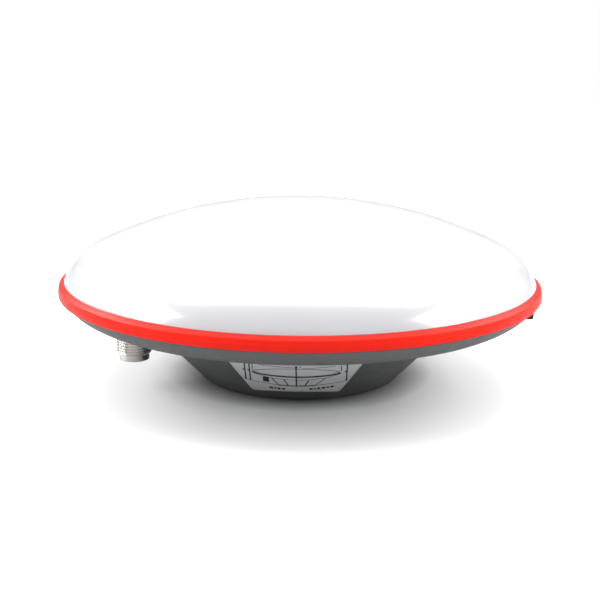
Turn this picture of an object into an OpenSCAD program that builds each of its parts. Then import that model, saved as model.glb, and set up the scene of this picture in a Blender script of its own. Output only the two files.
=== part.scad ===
// GNSS receiving head for survey work: a stacked patch antenna under a domed
// radome, on a bowl-shaped metal housing with a conical mounting boss.
// Millimetres, +Z up. The origin is the antenna reference point: the centre of
// the boss's flat foot, on the axis of the pole thread. The label faces -Y.

/* [Bumper ring] */
// Outer radius of the bumper ring, the widest part of the head
ring_r = 80; // [79.5:0.1:80.5]
// Height of the ring's underside above the foot
ring_z = 29; // [28.9:0.05:29.1]
// Height of the ring's outer face
ring_face_h = 3.3; // [3:0.1:3.6]
// Inward lean of the ring's outer face
ring_lean = 0.3; // [0.2:0.05:0.4]
// Rounding of the ring's outer edges
ring_edge_r = 0.4; // [0.3:0.05:0.5]

/* [Radome] */
// Radius of the radome where it meets the ring
radome_rim_r = 78; // [77.9:0.05:78.1]
// Radius of the spherical cap
cap_r = 164.3; // [162:0.1:167]
// Radius of the rounded shoulder between cap and rim
shoulder_r = 18.1; // [17.6:0.1:18.6]
// Angle of the radome's wall at the rim, from the horizontal
rim_angle = 68.8; // [68:0.1:69.5]
// Wall of the moulded radome
radome_wall = 2.5; // [2.3:0.1:2.7]

/* [Housing] */
// Radius of the flat foot
foot_r = 33.1; // [32.5:0.1:33.5]
// Slope of the conical boss, from the horizontal
boss_slope = 46; // [45.6:0.1:46.4]
// Wall of the cast housing
housing_wall = 2.5; // [2.4:0.05:2.6]
// Radius of the bowl's rounded rim
bowl_arc_r = 15; // [14.8:0.1:15.2]
// Slope of the nearly flat underside, from the horizontal
bowl_slope = 5; // [4.8:0.1:5.2]
// Radius of the housing's edge, just inside the ring's
lip_r = 78.8; // [78.6:0.05:79]

/* [Pole thread] */
// Wall radius of the 5/8 inch pole thread, at its minor diameter
pole_bore_r = 6.85; // [6.7:0.05:6.95]
// Length of the threaded insert
insert_len = 19; // [18:0.25:19.25]
// Outer radius of the threaded insert
insert_r = 11; // [10.5:0.1:11.5]

/* [Antenna jack] */
// Distance of the jack's axis from the head's axis
jack_orbit = 57.2; // [57:0.1:57.4]
// Direction of the jack, anticlockwise from +X
jack_az = 202.5; // [200:0.5:205]
// Outside radius of the coupling thread
jack_thread_r = 5.55; // [5.5:0.01:5.56]
// Outside radius of the plain nose
jack_nose_r = 4.75; // [4.6:0.05:4.85]
// Height of the open end above the foot
jack_end_z = 9.4; // [9:0.1:9.8]
// Length of the plain nose
jack_nose_len = 2.1; // [1.8:0.1:2.3]

/* [Antenna stack] */
// Radius of the metal ground plane
ground_r = 59; // [57:0.5:59.5]
// Radius of the lower patch's dielectric disc
lower_disc_r = 47; // [45:0.5:48]
// Radius of the upper patch's dielectric disc
upper_disc_r = 32; // [30:0.5:34]
// Thickness of the lower dielectric disc
lower_disc_h = 5; // [4:0.25:5.5]
// Thickness of the upper dielectric disc
upper_disc_h = 4; // [3:0.25:4.5]
// Radius of the amplifier board
board_r = 46; // [44:0.5:46.5]

/* [Hidden] */
$fn = 180;
big_fn = 720;
small_fn = 48;
eps = 0.5;

// Rim joint: the ring wraps the edges of the radome and the housing
joint_r = ring_r - 3.6;
joint_inner_r = joint_r - 3.9;
flange_inner_r = joint_r - 4.8;
joint_z = ring_z + 1.4;
flange_z = ring_z + 4;
ring_crease_z = ring_z + ring_face_h;
rim_z = ring_z + 4.4;
ring_lip_z = rim_z - 0.1;
lip_z = ring_z - 0.3;
step_r = joint_r + 0.8;
groove_r = joint_r - 1.9;
seal_r = 0.75;

// Radome curve: the shoulder's centre follows from the rim, the cap's from the shoulder
shoulder_c = [radome_rim_r - shoulder_r * sin(rim_angle), rim_z - shoulder_r * cos(rim_angle)];
cap_c = [0, shoulder_c[1] - sqrt(pow(cap_r - shoulder_r, 2) - pow(shoulder_c[0], 2))];
cap_half_angle = atan2(shoulder_c[0], shoulder_c[1] - cap_c[1]);
apex_z = cap_c[1] + cap_r;

// Housing curve: the bowl's arc ends at the lip, the underside is tangent to the arc
bowl_end_angle = 55.5;
bowl_c = [lip_r - bowl_arc_r * sin(bowl_end_angle),
    lip_z - 0.1 + bowl_arc_r * cos(bowl_end_angle)];
bowl_tangent = bowl_c + bowl_arc_r * [sin(bowl_slope), -cos(bowl_slope)];
function bowl_under_z(r) = bowl_tangent[1] - (bowl_tangent[0] - r) * tan(bowl_slope);
function boss_outer_r(z) = foot_r + z / tan(boss_slope);
boss_corner_z = (bowl_under_z(0) + foot_r * tan(bowl_slope))
    / (1 - tan(bowl_slope) / tan(boss_slope));
boss_corner = [boss_outer_r(boss_corner_z), boss_corner_z];
boss_fillet_r = 2.5;
foot_round_r = 1.2;
floor_z = 2.6;
hub_r = 14;
hub_top_z = 21.5;

// Screws
thread_r = 1.45;
tapped_r = 1.5;
clearance_r = 1.7;
head_r = 2.8;
head_h = 2.2;
hex_socket_r = 1.15;

// Fixing stations, six of each, clocked so that the jack lies midway between two
station_count = 6;
station_az = jack_az + 180 / station_count;
radome_boss_orbit = 64;
radome_boss_r = 3.6;
radome_boss_z = 27;
housing_boss_r = 5;
counterbore_r = 3.2;
counterbore_z = 25.2;
washer_h = 0.6;
brass_r = 2.4;
brass_len = 5.7;
post_orbit = 53;
post_r = 3.2;

// Jack
pad_r = 9;
pad_z = 20.2;
pad_top_z = 24.6;
spot_r = 8.2;
jack_hole_r = 5.3;
jack_rear_r = 5.2;
jack_flange_af = 13;
jack_flange_z = [17.7, 19.8];
jack_rear_z = 28.6;
washer_z = [pad_top_z, pad_top_z + 0.6];
nut_z = [washer_z[1], washer_z[1] + 2.7];
nut_af = 14;

// Stack heights
ground_z = [32, 33.5];
board_z = [26.4, 28];
board_screw_orbit = 38;
board_screw_az = jack_az + 45;
patch_t = 0.25;
lower_patch_z = ground_z[1] + lower_disc_h;
upper_disc_z = lower_patch_z + patch_t;
upper_patch_z = upper_disc_z + upper_disc_h;
stack_top_z = upper_patch_z + patch_t;
lower_patch_r = lower_disc_r - 4;
upper_patch_r = upper_disc_r - 3.5;
pin_r = 0.55;
pin_hole_r = 0.6;
pin_gap_r = 1.4;
pin_end_z = board_z[0] - 0.8;
lower_pin_orbit = 17;
upper_pin_orbit = 9;
pin_count = 4;

// Coax lead, in the jack's own frame: x away from the head's axis, y along the rim
coax_r = 1.25;
coax_z = 30;
coax_bend_r = 10;
coax_run = 8;
ferrule_end = 6;
socket_x = jack_orbit - 2 * coax_bend_r;
plug_end = 5;

// Label, a trapezoid cut straight back into the boss
label_z = [3.9, 18.3];
label_half_w = [14.2, 22.2];
label_arch = 0.8;
label_recess = 0.3;
label_t = 0.2;
label_corner_r = 1;
label_gap = 0.2;

// Height lug and vent
lug_az = -9;
lug_r = 77.8;
lug_w = 16;
lug_z = 24.1;
lug_screw_orbit = 75.4;
lug_screw_side = 5;
lug_screw_r = 0.85;
vent_az = jack_az + 180;
vent_orbit = 60;
vent_face_z = 21;
vent_hole_r = 3.1;

// Area between two lines that leave p at angles a1 and a2, and an arc tangent to both
module corner_web(p, a1, a2, rad) {
    half = (a2 - a1) / 2;
    mid = (a1 + a2) / 2;
    reach = rad / tan(half);
    centre = p + rad / sin(half) * [cos(mid), sin(mid)];
    difference() {
        polygon([p - 0.4 * [cos(mid), sin(mid)], p + reach * [cos(a1), sin(a1)], centre,
            p + reach * [cos(a2), sin(a2)]]);
        translate(centre) circle(rad);
    }
}

// Places children at each of count stations on a circle
module around(count, orbit, start) {
    for (i = [0 : count - 1])
        rotate(start + i * 360 / count) translate([orbit, 0, 0]) children();
}

module in_jack_frame() {
    rotate(jack_az) children();
}

module hex_prism(af, h) {
    cylinder(r = af / 2 / cos(30), h = h, $fn = 6);
}

module tube(outer, inner, h) {
    difference() {
        cylinder(r = outer, h = h);
        translate([0, 0, -eps]) cylinder(r = inner, h = h + 2 * eps);
    }
}

// Cap-head screw: underside of the head at z = 0, shank up, socket in the head's far face
module screw(length) {
    difference() {
        union() {
            translate([0, 0, -head_h]) cylinder(r = head_r, h = head_h, $fn = small_fn);
            cylinder(r = thread_r, h = length, $fn = small_fn);
        }
        translate([0, 0, -head_h - eps]) cylinder(r = hex_socket_r, h = 1.3 + eps, $fn = 6);
    }
}

// Half-section of everything inside the radome's surface, moved in by inset
module radome_area(inset) {
    difference() {
        union() {
            intersection() {
                translate(cap_c) circle(cap_r - inset, $fn = big_fn);
                polygon([cap_c, [0, 2 * apex_z], [2 * apex_z * tan(cap_half_angle) + shoulder_c[0],
                    2 * apex_z + shoulder_c[1]], shoulder_c]);
            }
            translate(shoulder_c) circle(shoulder_r - inset);
            translate([0, ring_z]) square([shoulder_c[0], shoulder_c[1] + shoulder_r / 2 - ring_z]);
        }
        translate([-2 * cap_r, -3 * cap_r]) square([2 * cap_r, 6 * cap_r]);
        translate([-eps, -3 * cap_r]) square([3 * ring_r, 3 * cap_r + ring_lip_z]);
    }
}

module radome_core() {
    rotate_extrude() {
        radome_area(0);
        translate([0, joint_z]) square([joint_r, rim_z - joint_z]);
    }
}

module radome_hollow() {
    rotate_extrude() {
        radome_area(radome_wall);
        translate([0, flange_z]) square([joint_r - 2, rim_z - flange_z + eps]);
        translate([0, joint_z - eps]) square([flange_inner_r, rim_z - joint_z + eps]);
    }
}

// Moulded dome with six screw bosses hanging from its inside
module radome() {
    color("white") difference() {
        union() {
            difference() {
                radome_core();
                radome_hollow();
            }
            intersection() {
                rotate_extrude() {
                    radome_area(radome_wall / 2);
                    translate([0, radome_boss_z]) square([joint_r - 3, rim_z - radome_boss_z + eps]);
                }
                union() {
                    around(station_count, radome_boss_orbit, station_az)
                        translate([0, 0, radome_boss_z]) cylinder(r = radome_boss_r, h = apex_z);
                    around(station_count, radome_boss_orbit, station_az)
                        translate([0, -0.8, flange_z + 0.5]) cube([12, 1.6, apex_z]);
                }
            }
        }
        around(station_count, radome_boss_orbit, station_az) {
            translate([0, 0, radome_boss_z - eps]) cylinder(r = brass_r, h = brass_len + eps);
            translate([0, 0, radome_boss_z]) cylinder(r = tapped_r, h = brass_len + 3.3);
        }
    }
}

// Brass thread inserts pressed into the radome's bosses
module radome_inserts() {
    color("gold") around(station_count, radome_boss_orbit, station_az)
        translate([0, 0, radome_boss_z]) difference() {
            rotate_extrude() {
                square([brass_r, brass_len / 2 - 0.4]);
                square([brass_r - 0.3, brass_len]);
                translate([0, brass_len / 2 + 0.4]) square([brass_r, brass_len / 2 - 0.4]);
            }
            translate([0, 0, -eps]) cylinder(r = tapped_r, h = brass_len + 2 * eps);
        }
}

// Elastomer ring stretched over the closed rim
module bumper_ring() {
    crease = [ring_r - ring_lean, ring_crease_z];
    top_inner = [radome_rim_r - 0.03, ring_lip_z];
    face_angle = atan2(ring_face_h, -ring_lean);
    slope_angle = atan2(crease[1] - top_inner[1], crease[0] - top_inner[0]);
    color("tomato") rotate_extrude() difference() {
        polygon([[joint_r, ring_z], [ring_r, ring_z], crease, top_inner, [joint_r, ring_lip_z]]);
        corner_web([ring_r, ring_z], face_angle, 180, ring_edge_r);
        corner_web(crease, 180 + slope_angle, 180 + face_angle, ring_edge_r);
    }
}

// Round cord seal squeezed between housing and radome
module rim_seal() {
    color("dimgray") rotate_extrude() translate([groove_r, joint_z - seal_r])
        circle(seal_r, $fn = small_fn);
}

module housing_area() {
    difference() {
        union() {
            polygon([[0, 0], [foot_r, 0], boss_corner, bowl_c, [0, bowl_c[1]]]);
            polygon([boss_corner, bowl_tangent, bowl_c]);
            translate(bowl_c) circle(bowl_arc_r);
            corner_web(boss_corner, 180 + boss_slope, 360 + bowl_slope, boss_fillet_r);
        }
        corner_web([foot_r, 0], boss_slope, 180, foot_round_r);
        translate([-eps, lip_z]) square([2 * ring_r, ring_r]);
        translate([-ring_r, -eps]) square([ring_r, 2 * ring_r]);
    }
    // step that carries the ring, and the spigot inside it
    translate([joint_inner_r, ring_z - 3]) square([step_r - joint_inner_r, 3]);
    translate([joint_inner_r, ring_z - 3]) square([joint_r - joint_inner_r, joint_z - ring_z + 3]);
}

module housing_hollow_area() {
    inner_arc_r = bowl_arc_r - housing_wall;
    wall_run = housing_wall / sin(boss_slope);
    wall_rise = housing_wall / cos(bowl_slope);
    tangent = bowl_c + inner_arc_r * [sin(bowl_slope), -cos(bowl_slope)];
    corner_z = boss_corner[1] + wall_rise;
    top = joint_z + eps;
    polygon([[0, floor_z], [boss_outer_r(floor_z) - wall_run, floor_z],
        [boss_outer_r(corner_z) - wall_run, corner_z], tangent, bowl_c, [bowl_c[0], top], [0, top]]);
    intersection() {
        translate(bowl_c) circle(inner_arc_r);
        square([joint_inner_r, joint_z]);
    }
    translate([bowl_c[0] - eps, ring_z - 1]) square([joint_inner_r - bowl_c[0] + eps, top - ring_z + 1]);
}

// Trapezoid of the label seen from the front, grown by grow on every side
module label_trapezoid(grow) {
    slant = (label_half_w[1] - label_half_w[0]) / (label_z[1] - label_z[0]);
    low = label_z[0] - label_arch - grow;
    high = label_z[1] + grow;
    low_w = label_half_w[0] - slant * label_arch + 1.2 * grow;
    arch_r = pow(label_half_w[0], 2) / 2 / label_arch;
    side_angle = atan2(1, slant);
    corner_c = [low_w - label_corner_r * tan(side_angle / 2), low + label_corner_r];
    corner = [for (a = [-90 : (180 - side_angle) / 6 : 90 - side_angle + 0.1])
        corner_c + label_corner_r * [cos(a), sin(a)]];
    difference() {
        polygon(concat([[-low_w - slant * (high - low), high]],
            [for (i = [len(corner) - 1 : -1 : 0]) [-corner[i][0], corner[i][1]]], corner,
            [[low_w + slant * (high - low), high]]));
        translate([0, label_z[0] - grow - arch_r]) circle(arch_r, $fn = big_fn);
    }
}

// Skin of the boss between two depths under its surface, within the trapezoid
module boss_skin(depth_out, depth_in, grow) {
    out_run = depth_out / sin(boss_slope);
    in_run = depth_in / sin(boss_slope);
    top = boss_corner[1];
    intersection() {
        rotate_extrude() polygon([[boss_outer_r(1) - in_run, 1], [boss_outer_r(1) - out_run, 1],
            [boss_outer_r(top) - out_run, top], [boss_outer_r(top) - in_run, top]]);
        translate([0, -foot_r / 2, 0]) rotate([90, 0, 0])
            linear_extrude(height = foot_r) label_trapezoid(grow);
    }
}

// Cast bowl and boss, with its screw bosses, posts, hub and ribs
module lower_housing() {
    color("dimgray") difference() {
        union() {
            difference() {
                rotate_extrude() housing_area();
                rotate_extrude() housing_hollow_area();
            }
            cylinder(r = hub_r, h = hub_top_z);
            intersection() {
                rotate_extrude() difference() {
                    housing_area();
                    translate([0, floor_z + 14]) square([ring_r, ring_r]);
                }
                around(station_count, 0, station_az) translate([hub_r - 2, -1, 1]) cube([40, 2, 17]);
            }
            around(station_count, radome_boss_orbit, station_az)
                translate([0, 0, 22.7]) cylinder(r = housing_boss_r, h = radome_boss_z - 22.7);
            around(station_count, post_orbit, station_az)
                translate([0, 0, 22.3]) cylinder(r = post_r, h = ground_z[0] - 22.3);
            in_jack_frame() translate([jack_orbit, 0, pad_z])
                cylinder(r = pad_r, h = pad_top_z - pad_z);
            rotate(vent_az) translate([vent_orbit, 0, vent_face_z])
                cylinder(r = 5.2, h = 3.6);
        }
        around(station_count, radome_boss_orbit, station_az) {
            translate([0, 0, 20]) cylinder(r = counterbore_r, h = counterbore_z - 20);
            translate([0, 0, 20]) cylinder(r = clearance_r, h = 10);
        }
        around(station_count, post_orbit, station_az)
            translate([0, 0, ground_z[0] - 7]) cylinder(r = tapped_r, h = 8);
        in_jack_frame() translate([jack_orbit, 0, 0]) {
            translate([0, 0, jack_end_z]) cylinder(r = spot_r, h = pad_z - jack_end_z);
            cylinder(r = jack_hole_r, h = pad_top_z + eps);
        }
        rotate(vent_az) translate([vent_orbit, 0, 19]) cylinder(r = vent_hole_r, h = 8);
        rotate_extrude() translate([groove_r - 1, joint_z - 2 * seal_r]) square([2, 2 * seal_r + eps]);
        translate([0, 0, -eps]) cylinder(r = insert_r, h = insert_len + eps);
        translate([0, 0, -eps]) cylinder(r = insert_r + 2, h = 1.5 + eps);
        at_lug_screws() cylinder(r = lug_screw_r + 0.05, h = 4.5);
        boss_skin(-eps, label_recess, label_gap);
    }
}

// Steel insert that takes the pole's 5/8 inch thread
module pole_insert() {
    color("lightsteelblue") rotate_extrude() difference() {
        union() {
            square([insert_r + 2, 1.5]);
            square([insert_r, 5]);
            square([insert_r - 0.8, insert_len]);
            for (z = [6.5 : 3 : insert_len - 3]) translate([0, z]) square([insert_r, 2]);
            translate([0, insert_len - 1.5]) square([insert_r, 1.5]);
        }
        translate([0, -eps]) square([pole_bore_r, insert_len + 2 * eps]);
        polygon([[0, -eps], [pole_bore_r + 1.1 + eps, -eps], [pole_bore_r, 1.1], [0, 1.1]]);
    }
}

module at_lug_screws() {
    for (side = [-1, 1])
        rotate(lug_az) translate([lug_screw_orbit, side * lug_screw_side, lug_z]) children();
}

// Lug under the rim, notched for the hook of a height tape
module height_lug() {
    color("#3a3a3c") difference() {
        intersection() {
            translate([0, 0, lug_z]) cylinder(r = lug_r, h = 3.5);
            rotate(lug_az) translate([0, -lug_w / 2, 0]) cube([ring_r, lug_w, ring_z]);
        }
        rotate(lug_az) translate([lug_r - 1.6, -1.5, 0]) cube([4, 3, ring_z]);
        at_lug_screws() translate([0, 0, -eps]) cylinder(r = lug_screw_r + 0.05, h = 5);
        at_lug_screws() translate([0, 0, -eps]) cylinder(r = 1.65, h = 0.5 + eps);
        rotate_extrude() housing_area();
    }
}

// Small screws that hold the lug
module lug_screws() {
    color("silver") at_lug_screws() difference() {
        union() {
            cylinder(r = 1.6, h = 0.5, $fn = small_fn);
            cylinder(r = lug_screw_r, h = 4, $fn = small_fn);
        }
        translate([0, 0, -eps]) cylinder(r = 0.6, h = 0.3 + eps, $fn = 6);
    }
}

// Printed plate that lies in the boss's recess
module label() {
    color("darkgray") boss_skin(label_recess - label_t, label_recess, 0);
}

// Screws from beneath that close the housing against the radome
module housing_screws() {
    color("silver") around(station_count, radome_boss_orbit, station_az)
        translate([0, 0, counterbore_z - washer_h]) screw(8.9);
}

// Sealing washers under the housing screws
module screw_seals() {
    color("black") around(station_count, radome_boss_orbit, station_az)
        translate([0, 0, counterbore_z - washer_h]) tube(3, tapped_r, washer_h);
}

// Slotted cap that lets the head breathe
module vent_plug() {
    color("#2c2c2e") rotate(vent_az) translate([vent_orbit, 0, vent_face_z]) difference() {
        union() {
            translate([0, 0, -1.6]) cylinder(r = 4.6, h = 1.6);
            cylinder(r = vent_hole_r - 0.05, h = 4.4);
        }
        translate([0, 0, 0.8]) cylinder(r = 2, h = 5);
        for (turn = [0 : 60 : 120]) rotate(turn)
            translate([-5, -0.4, -0.9]) cube([10, 0.8, 0.7]);
        translate([0, 0, -0.9]) cylinder(r = 1, h = 3);
    }
}

// Membrane inside the vent that passes air and stops water
module vent_membrane() {
    color("whitesmoke") rotate(vent_az) translate([vent_orbit, 0, vent_face_z + 0.8])
        cylinder(r = 1.95, h = 0.3);
}

// Jack shell: nose, coupling thread, hexagon, rear thread and side outlet
module tnc_body() {
    color("lightgray") in_jack_frame() translate([jack_orbit, 0, 0]) difference() {
        union() {
            translate([0, 0, jack_end_z]) cylinder(r = jack_nose_r, h = 9);
            translate([0, 0, jack_end_z + jack_nose_len])
                cylinder(r = jack_thread_r, h = jack_flange_z[0] - jack_end_z - jack_nose_len + 0.4);
            translate([0, 0, jack_flange_z[0]]) rotate(15)
                hex_prism(jack_flange_af, jack_flange_z[1] - jack_flange_z[0]);
            translate([0, 0, jack_flange_z[0]])
                cylinder(r = jack_rear_r, h = jack_rear_z - jack_flange_z[0]);
            translate([0, 0, jack_rear_z - 1]) cylinder(r = 3.6, h = 3.9);
            translate([0, 0, coax_z]) rotate([-90, 0, 0]) cylinder(r = 1.75, h = ferrule_end);
        }
        translate([0, 0, jack_end_z - eps]) cylinder(r = 4.1, h = 7.2 + eps);
        translate([0, 0, jack_end_z + 7]) cylinder(r = 3.3, h = 11.6);
        translate([0, 0, jack_end_z + 18]) cylinder(r = 2.3, h = 3.4);
        translate([0, 0, coax_z]) rotate([-90, 0, 0]) cylinder(r = coax_r + 0.02, h = ferrule_end + eps);
    }
}

// White dielectric that centres the jack's contact
module tnc_insulator() {
    color("white") in_jack_frame() translate([jack_orbit, 0, 0]) difference() {
        union() {
            translate([0, 0, jack_end_z + 1.2]) cylinder(r = 2.4, h = 6.5);
            translate([0, 0, jack_end_z + 7.2]) cylinder(r = 3.25, h = 11.4);
        }
        translate([0, 0, jack_end_z]) cylinder(r = 1, h = 22);
    }
}

// Gold-plated socket contact
module tnc_contact() {
    color("gold") in_jack_frame() translate([jack_orbit, 0, 0]) difference() {
        translate([0, 0, jack_end_z + 1.5]) cylinder(r = 0.95, h = 19, $fn = small_fn);
        translate([0, 0, jack_end_z + 1]) cylinder(r = 0.5, h = 4.5, $fn = small_fn);
        translate([-0.1, -2, jack_end_z + 1]) cube([0.2, 4, 3.5]);
    }
}

// Flat seal between the jack's hexagon and the housing
module tnc_gasket() {
    color("black") in_jack_frame() translate([jack_orbit, 0, jack_flange_z[1]])
        tube(6.3, jack_rear_r + 0.05, pad_z - jack_flange_z[1]);
}

// Lock washer under the nut
module tnc_washer() {
    color("silver") in_jack_frame() translate([jack_orbit, 0, washer_z[0]])
        tube(7.8, jack_hole_r, washer_z[1] - washer_z[0]);
}

// Nut that clamps the jack to the housing
module tnc_nut() {
    color("silver") in_jack_frame() translate([jack_orbit, 0, nut_z[0]]) difference() {
        hex_prism(nut_af, nut_z[1] - nut_z[0]);
        translate([0, 0, -eps]) cylinder(r = jack_rear_r + 0.02, h = 4);
    }
}

// Short lead from the jack to the board, one loose half turn
module coax_pigtail() {
    color("saddlebrown") in_jack_frame() translate([0, 0, coax_z]) {
        translate([jack_orbit, 2.2, 0]) rotate([-90, 0, 0])
            cylinder(r = coax_r, h = coax_run - 2.2, $fn = small_fn);
        translate([jack_orbit - coax_bend_r, coax_run, 0]) rotate_extrude(angle = 180)
            translate([coax_bend_r, 0]) circle(coax_r, $fn = small_fn);
        translate([socket_x, plug_end - 2.5, 0]) rotate([-90, 0, 0])
            cylinder(r = coax_r, h = coax_run - plug_end + 2.5, $fn = small_fn);
    }
}

// Right-angle plug on the lead's board end
module coax_plug() {
    color("goldenrod") in_jack_frame() translate([socket_x, 0, 0]) difference() {
        union() {
            translate([0, 0, board_z[1] + 0.9]) cylinder(r = 2.6, h = 2.8);
            translate([0, 0, coax_z]) rotate([-90, 0, 0]) cylinder(r = 1.7, h = plug_end);
        }
        translate([0, 2.5, coax_z]) rotate([-90, 0, 0]) cylinder(r = coax_r + 0.02, h = plug_end);
    }
}

// Surface-mounted socket under the plug
module board_socket() {
    color("gold") in_jack_frame() translate([socket_x, 0, board_z[1]]) cylinder(r = 2.2, h = 0.9);
}

module pin_holes(orbit, r) {
    around(pin_count, orbit, jack_az + 45) translate([0, 0, board_z[0] - 2])
        cylinder(r = r, h = 20, $fn = small_fn);
}

// Low-noise amplifier board under the ground plane
module amplifier_board() {
    color("darkgreen") difference() {
        translate([0, 0, board_z[0]]) cylinder(r = board_r, h = board_z[1] - board_z[0]);
        around(pin_count, board_screw_orbit, board_screw_az)
            translate([0, 0, board_z[0] - eps]) cylinder(r = clearance_r, h = 4);
        pin_holes(lower_pin_orbit, pin_hole_r);
        pin_holes(upper_pin_orbit, pin_hole_r);
    }
}

// Filters, regulators and capacitors on the board's underside
module board_components() {
    filter_side = 4.5;
    filter_h = 1.6;
    coil_r = 2.2;
    color("#222222") {
        around(5, 30, jack_az + 200) translate([-filter_side / 2, -filter_side / 2,
            board_z[0] - filter_h]) cube([filter_side, filter_side, filter_h]);
        around(9, 25, jack_az + 165) translate([-0.8, -0.5, board_z[0] - 0.6]) cube([1.6, 1, 0.6]);
        around(3, 35, jack_az + 262) translate([0, 0, board_z[0] - 2.4]) cylinder(r = coil_r, h = 2.4);
    }
}

// Pressed can over the amplifier stage
module shield_can() {
    size = [22, 30, 4];
    wall = 0.3;
    color("silver") rotate(jack_az + 90) translate([31 - size[0] / 2, -size[1] / 2, board_z[0] - size[2]])
        difference() {
            cube(size);
            translate([wall, wall, wall]) cube(size - [2 * wall, 2 * wall, 0]);
            for (i = [1 : 4], j = [1 : 5])
                translate([i * size[0] / 5, j * size[1] / 6, -eps]) cylinder(r = 0.8, h = 1, $fn = 24);
        }
}

// Spacers between the board and the ground plane
module board_spacers() {
    color("silver") around(pin_count, board_screw_orbit, board_screw_az)
        translate([0, 0, board_z[1]]) tube(2.8, clearance_r, ground_z[0] - board_z[1]);
}

// Screws that hang the board from the ground plane
module board_screws() {
    color("silver") around(pin_count, board_screw_orbit, board_screw_az)
        translate([0, 0, board_z[0]]) screw(6.8);
}

// Aluminium disc on the housing's six posts
module ground_plane() {
    color("gainsboro") difference() {
        translate([0, 0, ground_z[0]]) cylinder(r = ground_r, h = ground_z[1] - ground_z[0]);
        around(station_count, post_orbit, station_az)
            translate([0, 0, ground_z[0] - eps]) cylinder(r = clearance_r, h = 3);
        around(pin_count, board_screw_orbit, board_screw_az)
            translate([0, 0, ground_z[0] - eps]) cylinder(r = tapped_r, h = 3);
        pin_holes(lower_pin_orbit, pin_gap_r);
        pin_holes(upper_pin_orbit, pin_gap_r);
        translate([0, 0, ground_z[0] - eps]) cylinder(r = tapped_r, h = 3);
    }
}

// Screws that fasten the ground plane to the posts
module ground_screws() {
    color("silver") around(station_count, post_orbit, station_az)
        translate([0, 0, ground_z[1]]) rotate([180, 0, 0]) screw(8);
}

module dielectric(z, r, h) {
    difference() {
        translate([0, 0, z]) cylinder(r = r, h = h);
        translate([0, 0, z - eps]) cylinder(r = tapped_r, h = h + 2 * eps);
        children();
    }
}

// Low-loss disc under the lower patch
module lower_disc() {
    color("ivory") dielectric(ground_z[1], lower_disc_r, lower_disc_h) {
        pin_holes(lower_pin_orbit, pin_hole_r);
        pin_holes(upper_pin_orbit, pin_hole_r);
    }
}

// Copper patch for the lower band
module lower_patch() {
    color("peru") dielectric(lower_patch_z, lower_patch_r, patch_t) {
        pin_holes(lower_pin_orbit, pin_hole_r);
        pin_holes(upper_pin_orbit, pin_gap_r);
    }
}

// Low-loss disc under the upper patch
module upper_disc() {
    color("ivory") dielectric(upper_disc_z, upper_disc_r, upper_disc_h)
        pin_holes(upper_pin_orbit, pin_hole_r);
}

// Copper patch for the upper band
module upper_patch() {
    color("peru") dielectric(upper_patch_z, upper_patch_r, patch_t)
        pin_holes(upper_pin_orbit, pin_hole_r);
}

// Screw through the centre of the whole stack
module patch_screw() {
    color("gold") translate([0, 0, stack_top_z]) rotate([180, 0, 0]) screw(14.1);
}

// Nut that the centre screw ends in, under the ground plane
module patch_nut() {
    color("gold") translate([0, 0, ground_z[0] - 2.4]) difference() {
        hex_prism(5.5, 2.4);
        translate([0, 0, -eps]) cylinder(r = tapped_r, h = 4);
    }
}

module feed_pins(orbit, top_z) {
    around(pin_count, orbit, jack_az + 45) translate([0, 0, pin_end_z])
        cylinder(r = pin_r, h = top_z - pin_end_z, $fn = small_fn);
}

// Feed pins from the board to the lower patch
module lower_feed_pins() {
    color("gold") feed_pins(lower_pin_orbit, upper_disc_z);
}

// Feed pins from the board to the upper patch
module upper_feed_pins() {
    color("gold") feed_pins(upper_pin_orbit, stack_top_z);
}

radome();
radome_inserts();
bumper_ring();
rim_seal();
lower_housing();
pole_insert();
height_lug();
lug_screws();
label();
housing_screws();
screw_seals();
vent_plug();
vent_membrane();
tnc_body();
tnc_insulator();
tnc_contact();
tnc_gasket();
tnc_washer();
tnc_nut();
coax_pigtail();
coax_plug();
board_socket();
amplifier_board();
board_components();
shield_can();
board_spacers();
board_screws();
ground_plane();
ground_screws();
lower_disc();
lower_patch();
upper_disc();
upper_patch();
patch_screw();
patch_nut();
lower_feed_pins();
upper_feed_pins();
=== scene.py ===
# %% [markdown]
# # A survey GNSS receiving head, dressed for the camera
# This lesson takes the plain solids of a satellite receiving head and gives
# them their real surfaces: a glossy moulded dome, a soft bumper ring, a painted
# casting and a nickel-plated coaxial jack. Every length is in metres, and every
# piece is made where the frame already has it, so nothing is moved at the end.

# %% Load the frame
import math

import bmesh
import bpy
from mathutils import Matrix, Vector


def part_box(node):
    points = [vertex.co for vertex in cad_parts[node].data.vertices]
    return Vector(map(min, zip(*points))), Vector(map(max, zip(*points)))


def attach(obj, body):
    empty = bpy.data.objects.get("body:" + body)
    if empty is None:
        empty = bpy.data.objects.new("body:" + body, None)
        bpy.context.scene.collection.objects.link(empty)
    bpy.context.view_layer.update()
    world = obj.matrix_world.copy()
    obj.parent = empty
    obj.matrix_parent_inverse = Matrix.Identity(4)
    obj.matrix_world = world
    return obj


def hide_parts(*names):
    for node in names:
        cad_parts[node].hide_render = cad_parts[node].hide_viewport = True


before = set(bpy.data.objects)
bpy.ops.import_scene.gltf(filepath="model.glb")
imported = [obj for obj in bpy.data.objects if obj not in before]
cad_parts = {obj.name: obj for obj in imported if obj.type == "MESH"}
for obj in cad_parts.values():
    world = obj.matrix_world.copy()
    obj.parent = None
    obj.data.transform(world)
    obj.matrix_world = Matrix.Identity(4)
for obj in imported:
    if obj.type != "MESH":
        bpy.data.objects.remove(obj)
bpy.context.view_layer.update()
MM = 0.001
print("nodes in the frame:", len(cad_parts))

# %% [markdown]
# ## Driving sizes
# A turned or moulded part is known by a few radii and heights. The ones below
# are read from the boxes of the frame's own nodes wherever a box can say them.
# Only curvatures and slopes, which no box can show, are written down.

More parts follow.
